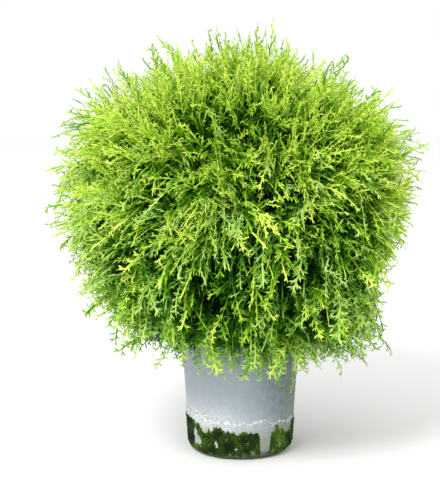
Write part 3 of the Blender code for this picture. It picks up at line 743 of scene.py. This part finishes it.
def addWood(settings):
    bark = barkMaterial("barkTrunk", (58, 36, 22), (142, 104, 74), 160.0)
    heights = np.linspace(crown["soilTop"] + 0.0003, crown["trunkTop"], settings["trunkRings"])
    share = (heights - crown["soilTop"]) / (crown["trunkTop"] - crown["soilTop"])
    radii = settings["trunkFoot"] + (settings["trunkTip"] - settings["trunkFoot"]) * share
    radii = radii + (settings["trunkFlare"] - settings["trunkFoot"]) * np.exp(-(heights - crown["soilTop"]) / 0.010)
    trunk = [(trunkCentre(heights), radii - 0.0003, settings["trunkSides"], settings["ridgeDepth"], 3.0)]
    addLimbs("barkTrunk", trunk, bark, ["trunk"])
    boughs = []
    for number, mass in enumerate(masses):
        if mass["foot"] is None:
            continue
        share = np.linspace(0.0, 1.0, settings["boughRings"])
        path = curve(mass["foot"], mass["boughBend"], mass["boughEnd"], share)
        radii = settings["boughFoot"] + (settings["boughTip"] - settings["boughFoot"]) * share
        boughs.append((path, radii, settings["boughSides"], 0.00025, 11.0 + number))
    addLimbs("barkBoughs", boughs, bark, [f"bough_{mass['name']}" for mass in masses if mass["foot"] is not None])

    twigBark = plainMaterial("twigBrown", (112, 78, 44), 0.8, 0.2)
    stems = []
    for number, mass in enumerate(masses):
        share = np.linspace(0.0, 1.0, 14)
        heading = mass["direction"] if mass["foot"] is None else unit(mass["boughEnd"] - mass["boughBend"])
        start = mass["boughEnd"] + heading * 0.0003
        bend = start + heading * np.linalg.norm(mass["centre"] - start) * 0.5
        path = curve(start, bend, mass["centre"], share)
        thick = 0.0040 if mass["foot"] is None else settings["boughTip"]
        stems.append((path, thick + (0.0012 - thick) * share, 7, 0.0001, 40.0 + number))
    addLimbs("stemsOfMasses", stems, bark, [])
    twigs = []
    for frond in sum(fronds.values(), []):
        mass = masses[frond["owner"]]
        share = np.linspace(0.0, 1.0, 6)
        path = curve(frond["root"], frond["bend"], frond["end"], share)
        twigs.append((path, 0.0014 - 0.0006 * share, 3, 0.0, 1.0))
        lead = np.linspace(0.0, 1.0, 3)
        stemPoint = mass["centre"] * 0.75 + mass["boughEnd"] * 0.25
        join = curve(stemPoint, (stemPoint + frond["root"]) / 2, frond["root"], lead)
        twigs.append((join, 0.0015 - 0.0001 * lead, 3, 0.0, 1.0))
    twigPiece = addLimbs("twigsOfFronds", twigs, twigBark, [])
    twigPiece.data.materials.append(leafMaterials[3])
    count = len(twigPiece.data.polygons)
    middles = np.empty(count * 3)
    twigPiece.data.polygons.foreach_get("center", middles)
    middles = middles.reshape(-1, 3) - crown["centre"]
    depth = np.linalg.norm(middles, axis=1) / crownReach(unit(middles))
    twigPiece.data.polygons.foreach_set("material_index", (depth > 0.58).astype(np.int32))
    print("wood grown,", len(boughs), "boughs and", len(twigs), "twigs")


addWood(woodSettings)


# pot: grey nursery plastic with a rim band, a lime line and moss at its foot

potSettings = {
    "height": 0.173,
    "wall": 0.0016,
    "floor": 0.0024,
    "footRadius": 0.0640,
    "cornerHeight": 0.0160,
    "radiusAtGround": 0.0762,
    "flare": 0.066,
    "bandLow": 0.131,
    "bandProud": 0.0006,
    "lipProud": 0.0004,
    "sides": 160,
    "limeHeight": 0.0568,  # where the old water line runs at the front
    "limeFall": 0.0042,  # it runs this much higher at the left than at the front
}


def wallRadius(height):
    return potSettings["radiusAtGround"] + potSettings["flare"] * height


def outerRadius(heights):
    # wall with the rounded foot
    foot = potSettings["footRadius"]
    share = np.clip(heights / potSettings["cornerHeight"], 0.0, 1.0)
    rounded = foot + (wallRadius(potSettings["cornerHeight"]) - foot) * np.sqrt(1 - (1 - share) ** 2)
    return np.where(share < 1.0, rounded, wallRadius(heights))


def potProfile(settings):
    top = settings["height"]
    lip = wallRadius(top) + settings["bandProud"] + settings["lipProud"]
    innerFloor = wallRadius(settings["cornerHeight"]) - settings["wall"] - 0.002
    profile = [(0.0, settings["floor"]), (innerFloor - 0.006, settings["floor"]),
               (innerFloor - 0.002, settings["floor"] + 0.0015), (innerFloor, settings["floor"] + 0.005),
               (wallRadius(0.020) - settings["wall"], 0.020)]
    for height in np.linspace(0.030, top - 0.002, 12):
        profile.append((wallRadius(height) - settings["wall"], height))
    for turn in np.linspace(math.pi, 0.0, 9):
        middle = (wallRadius(top) - settings["wall"] + lip) / 2
        half = (lip - wallRadius(top) + settings["wall"]) / 2
        profile.append((middle + half * math.cos(turn), top - 0.0012 + 0.0012 * math.sin(turn)))
    profile.append((lip - 0.0001, top - 0.0045))
    profile.append((lip - 0.0004, top - 0.0060))
    for height in np.linspace(top - 0.010, settings["bandLow"] + 0.0010, 6):
        profile.append((wallRadius(height) + settings["bandProud"], height))
    profile.append((wallRadius(settings["bandLow"]) + settings["bandProud"] * 0.8, settings["bandLow"] + 0.0003))
    profile.append((wallRadius(settings["bandLow"]) - 0.0002, settings["bandLow"] - 0.0003))
    profile.append((wallRadius(settings["bandLow"]), settings["bandLow"] - 0.0012))
    for height in np.linspace(settings["bandLow"] - 0.004, settings["cornerHeight"] + 0.001, 40):
        profile.append((wallRadius(height), height))
    corner = wallRadius(settings["cornerHeight"])
    for turn in np.linspace(0.0, math.pi / 2, 9):
        radius = settings["footRadius"] + (corner - settings["footRadius"]) * math.cos(turn)
        profile.append((radius, settings["cornerHeight"] * (1 - math.sin(turn))))
    profile.append((0.0, 0.0))
    return np.array(profile)


def turnedPoints(profile, sides):
    around = np.linspace(0, 2 * math.pi, sides, endpoint=False)
    ring = profile[1:-1]
    points = np.stack([ring[:, None, 0] * np.cos(around), ring[:, None, 0] * np.sin(around),
                       np.repeat(ring[:, None, 1], sides, axis=1)], axis=-1).reshape(-1, 3)
    ends = np.array([[0.0, 0.0, profile[0, 1]], [0.0, 0.0, profile[-1, 1]]])
    return np.concatenate([points, ends])


def turnedFaces(rings, sides):
    ring, corner = np.meshgrid(np.arange(rings - 1), np.arange(sides), indexing="ij")
    following = (corner + 1) % sides
    low = ring * sides
    quads = np.stack([low + corner, low + sides + corner, low + sides + following, low + following], axis=-1)
    quads = quads.reshape(-1, 4)
    triangles = [quads[:, [0, 2, 1]], quads[:, [0, 3, 2]]]
    first = rings * sides
    last = first + 1
    corner = np.arange(sides)
    following = (corner + 1) % sides
    triangles.append(np.stack([np.full(sides, first), corner, following], axis=1))
    low = (rings - 1) * sides
    triangles.append(np.stack([np.full(sides, last), low + following, low + corner], axis=1))
    return np.concatenate(triangles)


def noiseNode(nodes, links, vector, scale, detail=4.0, roughness=0.55):
    node = nodes.new("ShaderNodeTexNoise")
    node.inputs["Scale"].default_value = scale
    node.inputs["Detail"].default_value = detail
    node.inputs["Roughness"].default_value = roughness
    links.new(vector, node.inputs["Vector"])
    return node.outputs["Fac"]


def rampNode(nodes, links, factor, stops):
    # a stop's second value is a screen colour, or a plain share for a mask
    node = nodes.new("ShaderNodeValToRGB")
    ramp = node.color_ramp
    while len(ramp.elements) < len(stops):
        ramp.elements.new(0.5)
    for element, (position, colour) in zip(ramp.elements, stops):
        element.position = position
        element.color = linear(colour) if isinstance(colour, tuple) else (colour, colour, colour, 1.0)
    links.new(factor, node.inputs["Fac"])
    return node.outputs["Color"]


def mathNode(nodes, links, operation, first, second):
    node = nodes.new("ShaderNodeMath")
    node.operation = operation
    for socket, value in ((node.inputs[0], first), (node.inputs[1], second)):
        if isinstance(value, (int, float)):
            socket.default_value = value
        else:
            links.new(value, socket)
    return node.outputs[0]


def mixNode(nodes, links, factor, first, second):
    node = nodes.new("ShaderNodeMix")
    node.data_type = "RGBA"
    links.new(factor, node.inputs[0])
    for socket, value in ((node.inputs[6], first), (node.inputs[7], second)):
        if isinstance(value, (tuple, list)):
            socket.default_value = linear(value)
        else:
            links.new(value, socket)
    return node.outputs[2]


def potMaterial(settings):
    material = bpy.data.materials.new("potPlastic")
    material.use_nodes = True
    nodes = material.node_tree.nodes
    links = material.node_tree.links
    shader = nodes["Principled BSDF"]
    shader.inputs["Roughness"].default_value = 0.6
    shader.inputs["Specular IOR Level"].default_value = 0.3
    where = nodes.new("ShaderNodeTexCoord").outputs["Object"]
    split = nodes.new("ShaderNodeSeparateXYZ")
    links.new(where, split.inputs[0])

    def math2(operation, first, second):
        return mathNode(nodes, links, operation, first, second)

    height = split.outputs["Z"]
    side = math2("MULTIPLY_ADD", split.outputs["X"], 1 / 0.162)  # 0 at the left edge, 1 at the right
    side.node.inputs[2].default_value = 0.5
    broad = noiseNode(nodes, links, where, 26.0, 3.0)
    middling = noiseNode(nodes, links, where, 90.0, 5.0, 0.6)
    fine = noiseNode(nodes, links, where, 420.0, 5.0, 0.65)
    speckle = noiseNode(nodes, links, where, 560.0, 3.0, 0.7)
    # painted shade: the plastic darkens from left to right, away from the key light, and turns greenish at the far
    # right where it is also an algae stain
    plastic = rampNode(nodes, links, side, [(0.0, (157, 164, 172)), (0.5, (152, 164, 174)), (0.68, (132, 145, 152)),
                                           (0.84, (106, 119, 121)), (1.0, (95, 110, 92))])
    worn = rampNode(nodes, links, middling, [(0.40, 0.0), (0.75, 0.30)])
    plastic = mixNode(nodes, links, worn, plastic, (176, 184, 190))

    # height over the old water line, ragged
    over = math2("SUBTRACT", height, settings["limeHeight"] + settings["limeFall"])
    over = math2("ADD", over, math2("MULTIPLY", side, settings["limeFall"] * 2))
    over = math2("ADD", over, math2("MULTIPLY", math2("SUBTRACT", broad, 0.5), 0.016))
    over = math2("ADD", over, math2("MULTIPLY", math2("SUBTRACT", fine, 0.5), 0.012))
    place = math2("ADD", math2("MULTIPLY", over, 10.0), 0.5)  # 0.5 at the line, 0.1 for each centimetre
    filmHeight = rampNode(nodes, links, place, [(0.00, 0.40), (0.25, 0.75), (0.44, 1.0), (0.55, 0.85), (0.62, 0.48),
                                               (0.74, 0.20), (0.92, 0.0)])
    leftward = rampNode(nodes, links, side, [(0.0, 1.0), (0.35, 0.80), (0.60, 0.42), (0.80, 0.25), (1.0, 0.15)])
    film = math2("MULTIPLY", filmHeight, leftward)
    film = math2("MULTIPLY", film, rampNode(nodes, links, speckle, [(0.42, 0.25), (0.56, 1.0)]))
    colour = mixNode(nodes, links, film, plastic, (226, 228, 228))
    stainHeight = math2("ADD", height, math2("MULTIPLY", middling, 0.020))
    stain = rampNode(nodes, links, math2("MULTIPLY", stainHeight, 10.0), [(0.42, 0.55), (0.56, 0.30), (0.66, 0.0)])
    stain = math2("MULTIPLY", stain, rampNode(nodes, links, broad, [(0.42, 0.2), (0.60, 1.0)]))
    colour = mixNode(nodes, links, stain, colour, (134, 132, 84))
    low = math2("ADD", height, math2("MULTIPLY", middling, 0.016))
    dirt = rampNode(nodes, links, math2("MULTIPLY", low, 20.0), [(0.26, 0.96), (0.36, 0.70), (0.48, 0.0)])
    dirtTone = rampNode(nodes, links, fine, [(0.38, (30, 25, 20)), (0.58, (72, 60, 48)), (0.66, (176, 172, 160))])
    colour = mixNode(nodes, links, dirt, colour, dirtTone)
    links.new(colour, shader.inputs["Base Color"])
    bump = nodes.new("ShaderNodeBump")
    bump.inputs["Strength"].default_value = 0.3
    bump.inputs["Distance"].default_value = 0.0003
    links.new(fine, bump.inputs["Height"])
    links.new(bump.outputs["Normal"], shader.inputs["Normal"])
    return material


def addPot(settings):
    profile = potProfile(settings)
    points = turnedPoints(profile, settings["sides"])
    faces = turnedFaces(len(profile) - 2, settings["sides"])
    piece = meshPiece("potShell", points, faces, [potMaterial(settings)])
    piece.data.set_sharp_from_angle(angle=math.radians(40))
    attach(piece, "root")
    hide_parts("pot")
    print("pot turned,", len(faces), "triangles")


addPot(potSettings)


# moss and lime: bumpy skins on the pot's wall, grown only where their rule says so

mossSettings = {
    "name": "mossSkin",
    "low": 0.0024,
    "high": 0.058,
    "rows": 84,
    "sides": 620,
    # how high it grows, by azimuth from the front, positive to the right
    "edge": [(-180, 0.040), (-150, 0.046), (-110, 0.038), (-84, 0.057), (-64, 0.053), (-50, 0.048), (-44, 0.042),
             (-30, 0.047), (-16, 0.048), (-7, 0.045), (12, 0.042), (20, 0.038), (22, 0.002), (31, 0.002), (34, 0.037),
             (40, 0.048), (50, 0.040), (60, 0.034), (70, 0.042), (84, 0.052), (110, 0.047), (150, 0.038), (180, 0.040)],
    "gaps": [(-54, 0.026, 4.5, 0.009), (-27, 0.020, 1.6, 0.003), (-6, 0.018, 1.0, 0.002), (46, 0.018, 1.2, 0.003)],
    "tints": [(14, 26, 6), (24, 44, 9), (38, 64, 12), (56, 86, 18), (82, 110, 30), (116, 134, 52), (176, 180, 140)],
}
limeSettings = {
    "name": "limeSkin",
    "low": 0.040,
    "high": 0.076,
    "rows": 64,
    "sides": 620,
    "tints": [(180, 184, 184), (198, 201, 201), (215, 217, 217), (229, 231, 231)],
}


def crumble(points, scale, seed):
    # one smooth noise value for every point
    return np.array([noise.noise(Vector(point)) for point in points * scale + seed])


def mossRule(settings, azimuth, heights, points):
    edge = np.interp(azimuth, [stop[0] for stop in settings["edge"]], [stop[1] for stop in settings["edge"]])
    upright = points * np.array([1.0, 1.0, 0.3])
    ragged = crumble(upright, 120.0, 3.1) * 0.0070 + crumble(upright, 380.0, 7.7) * 0.0050 + crumble(points, 620.0, 2.2) * 0.0020
    field = np.minimum(edge - heights, (heights - 0.0050) * 0.8) + ragged * smooth(0.0, 0.012, heights)
    for middle, level, width, tall in settings["gaps"]:
        away = np.hypot((azimuth - middle) / width, (heights - level) / tall)
        field = np.minimum(field, (away - 1.0) * 0.005 + ragged * 1.3)
    patchy = crumble(points, 150.0, 21.0) + 0.6 * crumble(points, 460.0, 1.3)
    field = np.where(patchy > 0.74, -0.001, field)
    tuft = crumble(points, 520.0, 5.0)
    thick = smooth(0.0, 0.005, field) * (0.0011 + 0.0009 * crumble(points, 190.0, 9.0) + 0.0011 * tuft) + 0.00025
    tone = 1.7 + 2.2 * tuft + 2.4 * crumble(points, 60.0, 15.0) + 2.0 * (1 - smooth(0.0, 0.006, field))
    tone = tone + 3.0 * (np.abs(azimuth - 42) < 14) * 0.35 + 4.5 * smooth(0.58, 0.72, patchy)
    return field, thick, tone


def limeRule(settings, azimuth, heights, points):
    side = np.sin(np.radians(azimuth))
    line = potSettings["limeHeight"] - potSettings["limeFall"] * side
    sideways = points * np.array([1.0, 1.0, 0.1])
    line = line + (0.0042 + 0.0050 * smooth(0.0, 0.3, side)) * crumble(sideways, 75.0, 12.0)
    leftward = smooth(0.25, -0.6, side)
    half = 0.0016 + 0.0036 * leftward
    rough = 0.0034 + 0.0038 * leftward
    field = half - np.abs(heights - line) + rough * (crumble(points, 240.0, 2.0) + 0.8 * crumble(points, 620.0, 4.0))
    thick = smooth(0.0, 0.0022, field) * (0.0006 + 0.0008 * crumble(points, 430.0, 6.0)) + 0.0002
    tone = 2.0 + 3.2 * crumble(points, 420.0, 8.0)
    return field, thick, tone


def addSkin(settings, rule):
    heights, turn = np.meshgrid(np.linspace(settings["low"], settings["high"], settings["rows"]),
                                np.linspace(-math.pi, math.pi, settings["sides"], endpoint=False), indexing="ij")
    heights = heights.ravel()
    turn = turn.ravel()
    radius = outerRadius(heights)
    slope = (outerRadius(heights + 0.0002) - outerRadius(heights - 0.0002)) / 0.0004
    points = np.stack([radius * np.sin(turn), -radius * np.cos(turn), heights], axis=1)
    outward = unit(np.stack([np.sin(turn), -np.cos(turn), -slope], axis=1))
    field, thick, tone = rule(settings, np.degrees(turn), heights, points)
    points = points + outward * np.maximum(thick, 0.00015)[:, None]
    faces = limbFaces(settings["rows"], settings["sides"], 0)
    faces = faces[(field[faces] > 0).all(axis=1)]
    used, faces = np.unique(faces, return_inverse=True)
    faces = faces.reshape(-1, 3)
    tints = [plainMaterial(f"{settings['name']}{number}", tint, 0.9, 0.15) for number, tint in enumerate(settings["tints"])]
    slots = np.clip(np.floor(tone[used][faces].mean(axis=1)), 0, len(tints) - 1)
    piece = meshPiece(settings["name"], points[used], faces, tints, slots)
    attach(piece, "root")
    print(settings["name"], "grown,", len(faces), "triangles")


addSkin(mossSettings, mossRule)
addSkin(limeSettings, limeRule)


# soil: an uneven crumbly surface just under the rim

soilSettings = {"rings": 60, "sides": 120, "top": 0.158, "edgeDrop": 0.0025}


def addSoil(settings):
    radius = wallRadius(settings["top"]) - potSettings["wall"] - 0.0004
    points = []
    for ring in range(settings["rings"]):
        out = radius * (ring + 1) / settings["rings"]
        for corner in range(settings["sides"]):
            turn = 2 * math.pi * corner / settings["sides"]
            x = out * math.cos(turn)
            y = out * math.sin(turn)
            rough = noise.noise(Vector((x * 60, y * 60, 0.5))) * 0.0012 + noise.noise(Vector((x * 300, y * 300, 2.5))) * 0.0011
            height = settings["top"] - settings["edgeDrop"] * (out / radius) ** 2 - 0.0009 + rough
            points.append((x, y, height))
    rings = settings["rings"]
    sides = settings["sides"]
    points += [(0.0, 0.0, settings["top"] - 0.0009)]
    triangles = []
    for corner in range(sides):
        triangles.append((rings * sides, corner, (corner + 1) % sides))
    grid = limbFaces(rings, sides, 0)[:, ::-1]
    soil = rampMaterial("soilCrumbs", 260.0, [(0.30, (34, 24, 17)), (0.55, (66, 47, 33)), (0.75, (104, 78, 56))])
    piece = meshPiece("soilTop", points, np.concatenate([np.array(triangles), grid]), [soil])
    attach(piece, "root")
    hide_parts("soil")
    print("soil laid")


def rampMaterial(name, scale, stops, roughness=0.95):
    material = bpy.data.materials.new(name)
    material.use_nodes = True
    nodes = material.node_tree.nodes
    links = material.node_tree.links
    shader = nodes["Principled BSDF"]
    shader.inputs["Roughness"].default_value = roughness
    shader.inputs["Specular IOR Level"].default_value = 0.2
    where = nodes.new("ShaderNodeTexCoord").outputs["Object"]
    grain = noiseNode(nodes, links, where, scale, 6.0, 0.65)
    links.new(rampNode(nodes, links, grain, stops), shader.inputs["Base Color"])
    return material


addSoil(soilSettings)
